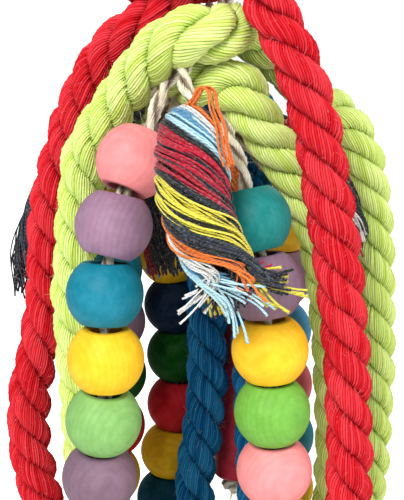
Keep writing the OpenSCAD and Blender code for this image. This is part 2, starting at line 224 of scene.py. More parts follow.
TASSEL_ROUTES = {
    "front": [
        [-5, -46, -138], [-6, -54, -144], [-5, -60, -153], [-4, -64, -163],
        [0, -66, -174], [6, -68, -186], [13, -70, -198],
    ],
    "left": [
        [-24, 19, -139], [-36, 25, -147], [-49, 31, -159], [-59, 36, -173],
        [-65, 37, -188], [-68, 36, -203], [-69, 35, -217],
    ],
    "right": [
        [16, 8, -144], [23, 9, -148], [31, 11, -153], [40, 15, -161],
        [47, 19, -172], [51, 21, -185], [52, 22, -198],
    ],
    "inner_left": [
        [-13, -8, -145], [-13, -8, -152], [-14, -7, -161], [-14, -7, -170],
        [-14, -7, -179], [-14, -7, -189], [-14, -7, -198],
    ],
    "inner_right": [
        [4, -11, -148], [5, -11, -155], [6, -11, -164], [6, -11, -175],
        [6, -11, -187], [6, -11, -199], [6, -11, -211],
    ],
}

rng = np.random.default_rng(7)


# Curves
def distances(line):
    """How far along a line each of its points lies."""
    return np.concatenate([[0], np.cumsum(np.linalg.norm(np.diff(line, axis=0), axis=1))])


def smooth_curve(points, steps=CURVE_STEPS, closed=False):
    """Catmull-Rom curve through points, steps to a stretch, as the solids' routes are drawn."""
    p = np.array(points, float)
    count = len(p)
    t = (np.arange(steps) / steps)[:, None]
    rows = []
    for i in range(count if closed else count - 1):
        if closed:
            a, b, c, d = (p[(i + k) % count] for k in (-1, 0, 1, 2))
        else:
            a, b, c, d = p[max(i - 1, 0)], p[i], p[i + 1], p[min(i + 2, count - 1)]
        straight = 2 * b + (c - a) * t
        bent = (2 * a - 5 * b + 4 * c - d) * t**2 + (3 * b - a - 3 * c + d) * t**3
        rows.append((straight + bent) / 2)
    if not closed:
        rows.append(p[-1:])
    return np.vstack(rows)


def even_steps(path, step, closed=False):
    """The same line with points at an even distance, and its length."""
    line = np.vstack([path, path[:1]]) if closed else path
    along = distances(line)
    count = max(int(round(along[-1] / step)), 4)
    marks = np.linspace(0, along[-1], count + 1)
    if closed:
        marks = marks[:-1]
    return np.stack([np.interp(marks, along, line[:, k]) for k in range(3)], axis=1), along[-1]


def normalized(v):
    return v / np.maximum(np.linalg.norm(v, axis=-1, keepdims=True), 1e-12)


def square_to(heading, v):
    """Direction of the part of v that is square to a heading."""
    return normalized(v - heading * np.sum(v * heading, axis=-1, keepdims=True))


def headings(path, closed=False):
    """Direction of a line at each of its points; path is (..., points, 3)."""
    if closed:
        return normalized(np.roll(path, -1, axis=-2) - np.roll(path, 1, axis=-2))
    ahead = np.concatenate([path[..., 1:, :], path[..., -1:, :]], axis=-2)
    behind = np.concatenate([path[..., :1, :], path[..., :-1, :]], axis=-2)
    return normalized(ahead - behind)


def side_frames(heading, closed=False):
    """Two directions square to a line that turn as little as they can along it."""
    first = heading[..., 0, :]
    helper = np.where(np.abs(first[..., 2:3]) > 0.7, [1.0, 0, 0], [0, 0, 1.0])
    side = np.empty_like(heading)
    side[..., 0, :] = square_to(first, helper)
    for i in range(1, heading.shape[-2]):
        side[..., i, :] = square_to(heading[..., i, :], side[..., i - 1, :])
    other = np.cross(heading, side)
    if closed:
        last = side[-1] - heading[0] * (side[-1] @ heading[0])
        turn = math.atan2(np.cross(last, side[0]) @ heading[0], last @ side[0])
        a = (turn * np.arange(len(side)) / len(side))[:, None]
        side, other = side * np.cos(a) + other * np.sin(a), other * np.cos(a) - side * np.sin(a)
    return side, other


def angles(count):
    """Angles at an even distance, once round."""
    return TAU * np.arange(count) / count


def around(angle, side, other):
    """Directions at an angle from side towards other."""
    return np.cos(angle)[..., None] * side + np.sin(angle)[..., None] * other


# Meshes
def grid_faces(rows, columns, closed, base=0):
    """Quads of a tube's wall, rows of points round it and columns in each row."""
    i = np.arange(rows if closed else rows - 1)[:, None]
    j = np.arange(columns)[None]
    a, b = i * columns, ((i + 1) % rows) * columns
    k = (j + 1) % columns
    quads = np.stack([a + j, a + k, b + k, b + j], axis=-1)
    return quads.reshape(-1, 4) + base


def grid_flow(rows, columns, closed, along, around_it, shift=0.0):
    """Flow coordinates of those quads: round the tube and along it, without a seam."""
    count = rows if closed else rows - 1
    i, j = np.meshgrid(np.arange(count), np.arange(columns), indexing="ij")
    u = np.stack([j, j + 1, j + 1, j], axis=-1) * (around_it / columns) + shift
    v = np.stack([i, i, i + 1, i + 1], axis=-1) * (along / count)
    return np.stack([u, v], axis=-1).reshape(-1, 2)


def end_faces(rows, columns):
    """The two faces that close such a tube when it is open."""
    first = np.arange(columns)
    return np.stack([first[::-1], (rows - 1) * columns + first])


def tube_faces(count, rows, columns):
    """Walls and end faces of open tubes, count of them."""
    base = (np.arange(count) * rows * columns)[:, None, None]
    wall = (grid_faces(rows, columns, False)[None] + base).reshape(-1, 4)
    return [wall, (end_faces(rows, columns)[None] + base).reshape(-1, columns)]


def new_piece(name, verts, faces, material, body, flow=None, fields=None, smooth=True):
    """A mesh in millimetres that rides on a body, if one is given.

    faces holds arrays of faces, flow is a UV map of the first of their corners, and fields hold a
    number or a colour a point.
    """
    mesh = bpy.data.meshes.new(name)
    face_list = [face for block in faces for face in block.tolist()]
    mesh.from_pydata((verts.reshape(-1, 3) * MM).tolist(), [], face_list)
    if smooth:
        mesh.polygons.foreach_set("use_smooth", np.ones(len(face_list), bool))
    if flow is not None:
        full = np.zeros((len(mesh.loops), 2))
        full[: len(flow)] = flow
        mesh.uv_layers.new(name="flow").data.foreach_set("uv", full.ravel())
    for field, values in (fields or {}).items():
        if values.ndim == 2:
            layer = mesh.attributes.new(field, "FLOAT_COLOR", "POINT")
            layer.data.foreach_set("color", np.c_[values, np.ones(len(values))].ravel())
        else:
            layer = mesh.attributes.new(field, "FLOAT", "POINT")
            layer.data.foreach_set("value", values)
    mesh.materials.append(material)
    mesh.update()
    piece = new_object(name, mesh)
    if body:
        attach(piece, body)
    return piece


# Materials
def linear(rgb):
    """Scene colour of a display colour from 0 to 255."""
    c = np.array(rgb, float) / 255
    return tuple(np.where(c <= 0.04045, c / 12.92, ((c + 0.055) / 1.055) ** 2.4)) + (1,)


class Nodes:
    """Short way to wire up the nodes of a new material, or of an owner such as the world."""

    def __init__(self, name, owner=None, shader="Principled BSDF"):
        self.owner = owner or bpy.data.materials.new(name)
        self.owner.use_nodes = True
        self.tree = self.owner.node_tree
        self.shader = self.tree.nodes[shader]

    def add(self, kind, **values):
        node = self.tree.nodes.new(kind)
        for key, value in values.items():
            setattr(node, key, value)
        return node

    def feed(self, socket, value):
        """Link a socket to another one, or set its constant."""
        if isinstance(value, bpy.types.NodeSocket):
            self.tree.links.new(value, socket)
        else:
            socket.default_value = value

    def feed_named(self, node, values):
        for key, value in values.items():
            self.feed(node.inputs[key], value)

    def feed_in_order(self, sockets, values):
        for socket, value in zip(sockets, values):
            self.feed(socket, value)

    def math(self, operation, *values, kind="ShaderNodeMath"):
        node = self.add(kind, operation=operation)
        self.feed_in_order(node.inputs, values)
        return node.outputs[0]

    def vector(self, operation, *values):
        return self.math(operation, *values, kind="ShaderNodeVectorMath")

    def times(self, value, factor):
        return self.math("MULTIPLY", value, factor)

    def total(self, *parts):
        """Sum of (value, weight) pairs."""
        weighed = [value if weight == 1 else self.times(value, weight) for value, weight in parts]
        result = weighed[0]
        for value in weighed[1:]:
            result = self.math("ADD", result, value)
        return result

    def ramp(self, value, low, high, to_low=0.0, to_high=1.0, smooth=True):
        kind = "SMOOTHSTEP" if smooth else "LINEAR"
        node = self.add("ShaderNodeMapRange", interpolation_type=kind)
        self.feed_in_order(node.inputs[:5], (value, low, high, to_low, to_high))
        return node.outputs[0]

    def mix(self, share, a, b, blend="MIX"):
        node = self.add("ShaderNodeMix", data_type="RGBA", blend_type=blend)
        self.feed_in_order((node.inputs[0], node.inputs[6], node.inputs[7]), (share, a, b))
        return node.outputs[2]

    def coats(self, colour, *coats):
        """Colour under coats of (where it lies, share, its colour)."""
        for where, share, tint in coats:
            colour = self.mix(self.times(where, share), colour, tint)
        return colour

    def split(self, vector):
        node = self.add("ShaderNodeSeparateXYZ")
        self.feed(node.inputs[0], vector)
        return node.outputs[0], node.outputs[1]

    def flow(self):
        """Coordinates round the yarns and along the piece."""
        return self.split(self.add("ShaderNodeUVMap", uv_map="flow").outputs[0])

    def point(self, x, y):
        node = self.add("ShaderNodeCombineXYZ")
        self.feed_in_order(node.inputs, (x, y))
        return node.outputs[0]

    def own_place(self):
        return self.add("ShaderNodeTexCoord").outputs["Object"]

    def noise(self, where, scale, detail=2.0, roughness=0.5, distortion=0.0):
        node = self.add("ShaderNodeTexNoise")
        self.feed_named(node, {"Vector": where, "Scale": scale, "Detail": detail,
                               "Roughness": roughness, "Distortion": distortion})
        return node.outputs[0]

    def grain(self, scale, detail, roughness=0.5, distortion=0.0):
        """Noise that sits on the piece, with a scale a metre on each axis."""
        node = self.add("ShaderNodeMapping")
        self.feed_named(node, {"Vector": self.own_place(), "Scale": scale})
        return self.noise(node.outputs[0], 1.0, detail, roughness, distortion)

    def seen(self, low, high):
        """low for the light that it gives off, and high where the camera sees it."""
        path = self.add("ShaderNodeLightPath")
        return self.ramp(path.outputs["Is Camera Ray"], 0, 1, low, high, smooth=False)

    def random(self, where):
        node = self.add("ShaderNodeTexWhiteNoise", noise_dimensions="2D")
        self.feed(node.inputs["Vector"], where)
        return node.outputs[0]

    def field(self, name, colour=False):
        node = self.add("ShaderNodeAttribute", attribute_name=name)
        return node.outputs["Color" if colour else "Fac"]

    def bump(self, height, strength, distance):
        node = self.add("ShaderNodeBump")
        self.feed_named(node, {"Height": height, "Strength": strength, "Distance": distance * MM})
        return node.outputs[0]

    def finish(self, colour, roughness, normal=None, **constants):
        self.feed_named(self.shader, {"Base Color": colour, "Roughness": roughness})
        if normal is not None:
            self.feed(self.shader.inputs["Normal"], normal)
        for key, value in constants.items():
            self.shader.inputs[key.replace("_", " ")].default_value = value
        return self.owner


def cotton(name, shade, tone, light, sheen):
    """Soft twisted cotton: yarns that differ a little, painted shade between yarns and strands, a fine
    nap.
    """
    n = Nodes(name)
    u, v = n.flow()
    strand_yarn = n.math("FLOOR", u)
    own = n.random(n.point(strand_yarn, 3.7))
    slow = n.noise(n.point(n.times(strand_yarn, 5.3), n.times(v, 0.05)), 1.0, 2.0)
    hairs = n.noise(n.point(n.times(u, 7.0), n.times(v, 0.6)), 1.0, 3.0, 0.65)
    patch = n.grain((60, 60, 60), 3.0, 0.6)
    edge = n.math("ABSOLUTE", n.math("SUBTRACT", n.math("FRACT", u), 0.5))
    bright = n.total((own, 0.35), (slow, 0.4), (hairs, 0.65), (patch, 0.25))
    colour = n.mix(n.ramp(bright, 0.5, 1.1), linear(tone), linear(light))
    # Painted shade: the shade colour darkens the grooves between yarns (edge) and the strands' sides
    # that face the rope's middle (deep).
    colour = n.coats(colour, (n.ramp(edge, 0.3, 0.5), 0.8, linear(shade)),
                     (n.ramp(n.field("deep"), 0.25, 0.9), 0.85, linear(shade)))
    normal = n.bump(n.total((hairs, 1), (patch, 0.4)), 0.7, 0.35)
    return n.finish(
        colour, 0.92, normal, Sheen_Weight=sheen, Sheen_Roughness=0.45,
        Sheen_Tint=linear(light), Specular_IOR_Level=0.03,
    )


def nap(name, colour):
    """Loose fibres that stand off the cotton."""
    n = Nodes(name)
    tint = n.mix(n.grain((90, 90, 90), 2.0), linear(colour), (1, 1, 1, 1))
    pale = n.mix(0.35, linear(colour), tint)
    return n.finish(pale, 0.9, Sheen_Weight=0.3, Specular_IOR_Level=0.1)


def dyed_wood(name, rgb, dark, mottle, gloss=0.3):
    """Dyed turned wood: faint rings and fibre, blotches of dye, painted shade in the bore and a soft
    gloss.
    """
    n = Nodes(name)
    where = n.own_place()
    shift = n.add("ShaderNodeObjectInfo").outputs["Random"]
    place = n.vector("MULTIPLY_ADD", where, (1000, 1000, 1000),
                     n.point(n.times(shift, 60.0), n.times(shift, 31.0)))
    fibre = n.noise(n.vector("MULTIPLY", place, (1.6, 1.6, 0.14)), 1.6, 4.0, 0.7)
    rings = n.add("ShaderNodeTexWave", wave_type="RINGS", rings_direction="X")
    far = n.vector("MULTIPLY_ADD", place, (0.35, 1, 0.45), (0, 4, 2))
    n.feed_named(rings, {"Vector": far, "Scale": 0.16, "Distortion": 3.5, "Detail": 3,
                         "Detail Scale": 0.35})
    blotch = n.noise(place, 0.22, 3.0, 0.6)
    fleck = n.noise(place, 2.6, 2.0, 0.75)
    radius = n.math("SQRT", n.math("ADD", *(n.math("POWER", axis, 2.0) for axis in n.split(where))))
    # Painted shade: the bore and its mouths go to the dark colour.
    bore = n.ramp(radius, (BEAD_BORE / 2 + 0.9) * MM, (BEAD_BORE / 2 + 0.1) * MM)
    base, deep = linear(rgb), linear(dark)
    light = tuple(min(c * 1.16 + 0.012, 1.0) for c in base[:3]) + (1,)
    colour = n.coats(
        n.mix(n.ramp(blotch, 0.3, 0.7), base, light),
        (n.ramp(rings.outputs[1], 0.35, 1.0), 0.13, deep),
        (n.ramp(fibre, 0.45, 0.8), 0.26, deep),
        (n.ramp(fleck, 0.5, 0.75), mottle * 0.35, light),
        (bore, 0.7, deep),
    )
    normal = n.bump(n.total((fibre, 1), (fleck, 0.5)), 0.25, 0.12)
    rough = n.ramp(fibre, 0.2, 0.8, 0.45, 0.62, smooth=False)
    return n.finish(colour, rough, normal, Specular_IOR_Level=gloss)


def yarn_wool(name):
    """Yarn coloured by its own tint, with painted shade in the grooves of its twisted plies, and stray
    fluff.
    """
    n = Nodes(name)
    u, v = n.flow()
    tint = n.field("tint", colour=True)
    ply = n.math("SINE", n.total((u, 2 * TAU), (v, 4.2)))
    fluff = n.grain((1100, 1100, 1100), 3.0, 0.7)
    # Painted shade: dark is the tint made darker, laid where the plies' twist has its grooves.
    dark = n.mix(1.0, tint, (0.68, 0.68, 0.7, 1), blend="MULTIPLY")
    pale = n.mix(0.16, tint, (1, 1, 1, 1))
    colour = n.mix(n.ramp(ply, -1.0, 0.6), dark, tint)
    colour = n.mix(n.ramp(fluff, 0.5, 0.8), colour, pale)
    normal = n.bump(n.total((ply, 1), (fluff, 1)), 0.6, 0.12)
    return n.finish(colour, 0.9, normal, Sheen_Weight=0.25, Sheen_Roughness=0.5,
                    Specular_IOR_Level=0.15)


def sisal_fibre(name, shade, light):
    """Pale hard fibre: fine streaks along the cord, brown flecks, painted shade between the strands and
    a dry gloss.
    """
    n = Nodes(name)
    u, v = n.flow()
    streak = n.noise(n.point(n.times(u, 3.0), n.times(v, 0.25)), 1.0, 4.0, 0.7)
    patch = n.grain((220, 220, 220), 3.0, 0.6)
    fleck = n.grain((700, 700, 700), 2.0, 0.6)
    bright = n.total((streak, 0.7), (patch, 0.4))
    colour = n.coats(
        n.mix(n.ramp(bright, 0.38, 0.7), linear(shade), linear(light)),
        (n.ramp(fleck, 0.66, 0.8), 0.5, linear((150, 115, 70))),
        # Painted shade: dark brown where a point lies deep between the strands.
        (n.ramp(n.field("deep"), 0.35, 1.0), 0.8, linear((105, 80, 48))),
    )
    normal = n.bump(n.total((streak, 1), (fleck, 0.4)), 0.7, 0.25)
    return n.finish(colour, 0.72, normal, Sheen_Weight=0.1, Specular_IOR_Level=0.3)


def plated(name, rgb, rough):
    """Zinc-plated steel: cloudy plating, fine draw lines and small scratches."""
    n = Nodes(name)
    cloud = n.grain((160, 160, 160), 4.0, 0.6)
    lines = n.grain((2600, 2600, 240), 2.0, 0.6)
    scratch = n.grain((900, 300, 1500), 2.0, 0.8, 1.5)
    base = linear(rgb)
    dull = tuple(c * 0.72 for c in base[:3]) + (1,)
    colour = n.coats(n.mix(n.ramp(cloud, 0.35, 0.7), dull, base),
                     (n.ramp(scratch, 0.64, 0.74), 0.5, linear((225, 226, 228))))
    wear = n.ramp(n.total((cloud, 0.7), (lines, 0.3)), 0.3, 0.7, rough, rough + 0.18, smooth=False)
    normal = n.bump(n.total((lines, 0.5), (scratch, 1)), 0.18, 0.06)
    return n.finish(colour, wear, normal, Metallic=1.0)


# Rope and cord
def laid_cord(name, path, closed, material, body, spread, strand_r, strands, lay, yarns, step,
              phase=0.0, wander=0.25, swells=()):
    """Strands laid round each other, each with its yarns as ridges that run along the rope.

    swells holds (place, reach, share) of the spots where the rope has opened and is thicker.
    """
    centre, length = even_steps(path, step, closed)
    count = len(centre)
    full = np.ones(count)
    for place, reach, share in swells:
        full += share * np.exp(-(np.linalg.norm(centre - place, axis=1) / reach) ** 2)
    along = np.arange(count) * length / (count if closed else count - 1)
    side, other = side_frames(headings(centre, closed), closed)
    turns = length / lay
    yarn_pitch = TAU * (spread + strand_r) / lay
    twist = yarn_pitch / math.sqrt(1 / (1 + (TAU * spread / lay) ** 2)) / strand_r
    yarn_turns = length * twist / TAU
    if closed:
        turns, yarn_turns = max(round(turns), 1), round(yarn_turns)
    columns = yarns * RIDGE_SAMPLES
    column = np.arange(columns)
    ridge = np.where(column % RIDGE_SAMPLES == 0, -RIDGE_GROOVE, RIDGE_GROOVE * 0.25)[None]
    which = column // RIDGE_SAMPLES
    turn = -LAY_HAND * TAU * yarn_turns * along / length
    psi = turn[:, None] + angles(columns)
    wave = TAU * along / length
    verts, faces, flows, deep = [], [], [], []
    for k in range(strands):
        angle = phase + TAU * k / strands + LAY_HAND * TAU * turns * along / length
        swell = (full + 0.02 * np.sin(wave * (7 + k) + k)
                 + 0.015 * np.sin(wave * (17 + 3 * k) + 2 * k))
        out = around(angle, side, other)
        line = centre + out * spread * swell[:, None]
        heading = headings(line, closed)
        up = square_to(heading, out)
        across = np.cross(heading, up)
        own = rng.normal(0, 1, (5, yarns))
        loose = sum(
            own[m, which][None] * np.sin(wave[:, None] * (5 + 6 * m) + own[m - 1, which][None] * 3)
            for m in range(1, 5)
        ) * wander * 0.22
        radius = strand_r * swell[:, None] + ridge + loose
        points = line[:, None] + around(psi, up[:, None], across[:, None]) * radius[..., None]
        reach = np.linalg.norm(points - centre[:, None], axis=2)
        # deep: how far a point lies towards the cord's middle, the mask of the painted shade between
        # the strands
        deep.append((1 - np.clip(reach / full[:, None] / (spread + strand_r), 0, 1)).ravel() * 2)
        base = k * count * columns
        verts.append(points.reshape(-1, 3))
        faces.append(grid_faces(count, columns, closed, base))
        flows.append(grid_flow(count, columns, closed, length, yarns, k * (yarns + 3)))
        if not closed:
            faces.append(base + end_faces(count, columns))
            flows.append(np.zeros((2 * columns, 2)))
    piece = new_piece(name, np.vstack(verts), faces, material, body, flow=np.vstack(flows),
                      fields={"deep": np.concatenate(deep)})
    return piece, centre, length


def fibres(name, roots, outward, way, length, material, body, thick=0.05):
    """Loose hairs: three-sided, bent, tapering to a point."""
    count = len(roots)
    t = np.linspace(0, 1, HAIR_KNOTS)[None, :, None]
    length = length[:, None, None]
    sideways = np.cross(outward, way) * rng.normal(0, 1, (count, 1))
    curl = normalized(sideways + way * rng.normal(0, 0.4, (count, 1)))
    line = (roots[:, None] + outward[:, None] * length * (t * 0.8 - 0.35 * t**2)
            + way[:, None] * length * 0.7 * t + curl[:, None] * length * 0.45 * t**2)
    side, other = side_frames(headings(line))
    taper = thick * (1 - 0.75 * t)
    verts = []
    for k in range(HAIR_SIDES):
        a = TAU * k / HAIR_SIDES
        verts.append(line + (side * math.cos(a) + other * math.sin(a)) * taper)
    faces = tube_faces(count, HAIR_KNOTS, HAIR_SIDES)
    return new_piece(name, np.stack(verts, axis=2), faces, material, body)


def rope_fibres(name, centre, closed, reach, how_many, material, body, longest=4.0, thick=0.05):
    """Hairs that stand off all round a rope."""
    heading = headings(centre, closed)
    side, other = side_frames(heading, closed)
    pick = rng.integers(2, len(centre) - 2, how_many)
    angle = rng.uniform(0, TAU, how_many)
    out = around(angle, side[pick], other[pick])
    roots = centre[pick] + out * reach * rng.uniform(0.86, 0.97, (how_many, 1))
    way = heading[pick] * rng.choice([-1, 1], (how_many, 1)) + rng.normal(0, 0.5, (how_many, 3))
    length = longest * rng.beta(1.3, 3.0, how_many) + 0.8
    return fibres(name, roots, out, normalized(way), length, material, body, thick)


def yarns_piece(name, lines, radii, tints, body):
    """Loose yarns as tubes; lines is (yarns, points, 3), and each yarn has its own colour."""
    count, knots = lines.shape[:2]
    side, other = side_frames(headings(lines))
    ring = around(angles(YARN_SIDES), side[:, :, None], other[:, :, None])
    verts = lines[:, :, None] + ring * radii[..., None, None]
    faces = tube_faces(count, knots, YARN_SIDES)
    step = np.linalg.norm(np.diff(lines, axis=1), axis=2).mean()
    flow = grid_flow(knots, YARN_SIDES, False, step * (knots - 1), 1)
    shift = np.stack([np.arange(count) * 3.0, np.zeros(count)], 1)[:, None]
    flow = (flow[None] + shift).reshape(-1, 2)
    return new_piece(name, verts, faces, yarn, body, flow=flow,
                     fields={"tint": np.repeat(tints, knots * YARN_SIDES, axis=0)})


def turned(name, profile, sides, material, body, place, way, spin=0.0):
    """Turned piece: profile holds (radius, height) pairs about the way through place."""
    a = angles(sides)
    rows = np.stack([
        profile[:, :1] * np.cos(a), profile[:, :1] * np.sin(a),
        np.repeat(profile[:, 1:], sides, axis=1),
    ], axis=-1)
    faces = grid_faces(len(profile), sides, True)
    piece = new_piece(name, rows, [faces], material, None)
    turn = Vector((0, 0, 1)).rotation_difference(Vector(way)).to_matrix().to_4x4()
    spun = Matrix.Rotation(spin, 4, "Z")
    piece.matrix_world = Matrix.Translation(Vector(place * MM)) @ turn @ spun
    bpy.context.view_layer.update()
    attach(piece, body)
    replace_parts(piece, body)
    return piece


lime_cotton = cotton("lime_cotton", (122, 154, 34), (202, 226, 98), (234, 250, 162), 0.2)
red_cotton = cotton("red_cotton", (110, 0, 8), (200, 14, 28), (240, 66, 76), 0.06)
blue_cotton = cotton("blue_cotton", (0, 18, 44), (2, 72, 124), (48, 132, 180), 0.06)
lime_nap = nap("lime_nap", (205, 230, 130))
red_nap = nap("red_nap", (232, 60, 66))
blue_nap = nap("blue_nap", (40, 100, 140))
black_nap = nap("black_nap", (62, 66, 74))
sisal = sisal_fibre("sisal", (206, 196, 164), (246, 240, 222))
sisal_hair = nap("sisal_hair", (228, 216, 180))
yarn = yarn_wool("yarn")
steel = plated("plated_steel", (176, 178, 182), 0.28)
nut_steel = plated("plated_steel_nut", (186, 186, 186), 0.34)


# Rope loops
def rope_loop(node, route, material, fluff, phase, swells=()):
    """One loop of thick cotton rope in place of its solid."""
    piece, centre, length = laid_cord(
        node + "_rope", smooth_curve(route, closed=True), True, material, "rope_cage", ROPE_SPREAD,
        ROPE_STRAND_R, ROPE_STRANDS, ROPE_LAY, ROPE_YARNS, ROPE_STEP, phase, 0.55, swells)
    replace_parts(piece, node)
    hairs = rope_fibres(node + "_nap", centre, True, ROPE_D / 2, int(length * ROPE_HAIRS_A_MM),
                        fluff, "rope_cage")


eye_a = np.pi * (1 - np.arange(EYE_TURNS + 1) / EYE_TURNS)
eye_route = np.stack([eye_r * np.cos(eye_a), 0 * eye_a, ring_low_z + eye_r * np.sin(eye_a)], 1)
rope_loop("red_rope", np.vstack([RED_ROUTE, eye_route, RED_WRAP_ROUTE]), red_cotton, red_nap, 0.4)
rope_loop("green_rope_front", GREEN_FRONT_ROUTE, lime_cotton, lime_nap, 1.1,
          swells=[((-5, -31, -114), 13, 0.2), ((5, -21, -130), 11, 0.12)])
rope_loop("green_rope_back", GREEN_BACK_ROUTE, lime_cotton, lime_nap, 2.0)
rope_loop("blue_rope", BLUE_ROUTE, blue_cotton, blue_nap, 0.9)

# Bead strings: each wood is its colour, its dark and how mottled it is
WOODS = {
    "pink": ((232, 138, 138), (200, 104, 110), 0.7),
    "purple": ((146, 113, 136), (104, 78, 100), 1.0),
    "blue": ((0, 118, 140), (0, 84, 108), 0.5),
    "yellow": ((244, 188, 30), (222, 154, 16), 0.5),
    "light_green": ((124, 172, 96), (82, 132, 64), 0.6),
    "mauve": ((120, 93, 110), (86, 64, 82), 1.0),
    "teal": ((0, 122, 142), (0, 84, 108), 0.5),
    "aqua": ((8, 118, 114), (0, 82, 84), 0.5),
    "green": ((108, 168, 62), (64, 124, 38), 0.5),
    # Partly painted shade: gold, forest, crimson, navy and deep_teal are darker kin of the front beads'
    # yellow, green, red, blue and teal, partly their own dye and partly shade of the beads at the back.
    "gold": ((206, 160, 20), (150, 106, 8), 0.4),
    "forest": ((0, 62, 6), (0, 36, 2), 0.4),
    "crimson": ((168, 18, 28), (112, 6, 16), 0.4),
    "navy": ((0, 24, 48), (0, 10, 28), 0.4),
    "deep_teal": ((0, 62, 84), (0, 38, 58), 0.4),
    "sky_blue": ((70, 146, 196), (40, 106, 164), 0.5),
    "rose": ((204, 86, 98), (160, 52, 68), 0.5),
}
DARK_WOODS = ("forest", "crimson", "navy", "deep_teal", "gold")
woods = {name: dyed_wood("wood_" + name, *look, gloss=0.05 if name in DARK_WOODS else 0.22)
         for name, look in WOODS.items()}
STRING_COLOURS = {
    "front_left": "pink purple blue yellow light_green mauve teal",
    "front_right": "aqua mauve yellow green pink yellow teal",
    "mid_left": "gold teal mauve forest crimson gold teal",
    "back_left": "crimson gold navy forest crimson gold deep_teal",
    "mid_right": "yellow purple sky_blue rose blue gold green",
}


def upright(x, start, end, count):
    """Points of an upright line in a profile."""
    return np.stack([np.full(count, x), np.linspace(start, end, count)], 1)


def arc(centre_r, centre_z, r, start, end, steps):
    """Points of an arc in a profile."""
    a = np.radians(np.linspace(start, end, steps))
    return np.stack([centre_r + r * np.cos(a), centre_z + r * np.sin(a)], 1)


def bead_profile():
    """Half section of a bead: round side, flat ends with soft rims, bore with soft mouths."""
    rim, mouth = 0.9, 0.7
    half, side_r = BEAD_H / 2, BEAD_D / 2
    edge = math.degrees(math.asin((half - rim) / (side_r - rim)))
    centre_r = (side_r - rim) * math.cos(math.radians(edge))
    top = np.vstack([
        arc(0, 0, side_r, 0, edge, 12),
        arc(centre_r, half - rim, rim, edge, 90, 5)[1:],
        arc(BEAD_BORE / 2 + mouth, half - mouth, mouth, 90, 180, 5),
    ])
    bottom = top[::-1] * (1, -1)
    return np.vstack([bottom[:-1], top, upright(BEAD_BORE / 2, 4, -4, 3)])


def string_beads(route):
    """Places and ways of a string's beads, with room where the line bends, as in the solids."""
    line = smooth_curve(route)
    along = distances(line)
    last_way = normalized(line[-1] - line[-2])

    def at(length):
        point = np.array([np.interp(length, along, line[:, k]) for k in range(3)])
        return point + max(length - along[-1], 0) * last_way

    def way_at(length):
        return normalized(at(max(length - BEAD_H / 2, 0)) - at(length + BEAD_H / 2))

    pitch = BEAD_H + BEAD_GAP
    length = BEAD_H / 2 - BEAD_GAP
    found = []
    for i in range(BEADS_A_STRING):
        if i:
            bend = np.linalg.norm(way_at(length) - way_at(length + pitch))
            length += pitch + flat_r * bend
        found.append((at(length), way_at(length)))
    return found


def sisal_cord(name, line, closed, body, lay, step, wander, phase=0.0):
    """Thin sisal cord of two strands."""
    strand_r = SISAL_D / 4
    return laid_cord(name, line, closed, sisal, body, strand_r, strand_r, SISAL_STRANDS, lay,
                     SISAL_YARNS, step, phase, wander)


def stop_knot(name, place, way, body):
    """Overhand knot of sisal, pulled tight, and the frayed end under it."""
    t = angles(60)
    across, along = np.sin(t) + 2 * np.sin(2 * t), np.cos(t) - 2 * np.cos(2 * t)
    side = normalized(np.cross(way, [0.3, 1, 0.2]))
    other = np.cross(way, side)
    line = place + 1.4 * (across[:, None] * side + along[:, None] * other
                          + (-0.95 * np.sin(3 * t))[:, None] * way)
    ring = sisal_cord(name + "_knot", line, True, body, 14, 0.9, 0.3)[0]
    count = 26
    out = around(angles(count), side, other)
    roots = place - way * 2.5 + out * rng.uniform(0.3, 2.0, (count, 1))
    fray = fibres(name + "_fray", roots, normalized(out * 0.8 - way), -way + 0 * out,
                  rng.uniform(4, 8, count), sisal_hair, body, thick=0.16)
    return [ring, fray]


def carried_cord(name, points, stop, way, body, phase):
    """Sisal cord through what it carries, with its knot and frayed end."""
    line = smooth_curve(points, 6)
    piece, centre, length = sisal_cord(name + "_sisal", line, False, body, 26, 1.3, 0.4, phase)
    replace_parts(piece, name)
    end = stop_knot(name, stop, way, body)


half_section = bead_profile()
for string, colours in STRING_COLOURS.items():
    beads = string_beads(STRING_ROUTES[string])
    for i, ((place, way), colour) in enumerate(zip(beads, colours.split()), 1):
        piece = turned("bead_%s_%d_wood" % (string, i), half_section, BEAD_SIDES, woods[colour],
                       "bead_%s_%d" % (string, i), place, way, spin=rng.uniform(0, TAU))
    last, way = beads[-1]
    stop = last - way * (BEAD_H / 2 + BEAD_GAP + KNOT_H / 2)
    start = beads[0][0] + beads[0][1] * BEAD_H / 4
    points = [start] + [place for place, _ in beads] + [stop - way * CORD_TAIL]
    carried_cord("cord_" + string, points, stop, way, "string_" + string, len(string) * 0.7)


# Chew dowel on its own cord
def dowel_profile():
    """Half section of the dowel: faintly uneven wall, chamfered ends and a straight bore."""
    half = DOWEL_L / 2
    chamfer = (DOWEL_D - DOWEL_BORE) / 8
    height = np.linspace(-half + chamfer + 0.4, half - chamfer - 0.4, 24)
    wall = np.stack([DOWEL_D / 2 + 0.05 * np.sin(height * 0.8), height], 1)
    end = np.array([
        [DOWEL_BORE / 2, half - 0.5], [DOWEL_BORE / 2 + 0.5, half],
        [DOWEL_D / 2 - chamfer - 0.3, half], [DOWEL_D / 2 - chamfer + 0.2, half - 0.15],
        [DOWEL_D / 2 - 0.15, half - chamfer + 0.2], [DOWEL_D / 2, half - chamfer - 0.3],
    ])
    return np.vstack([end * (1, -1), wall, end[::-1]])


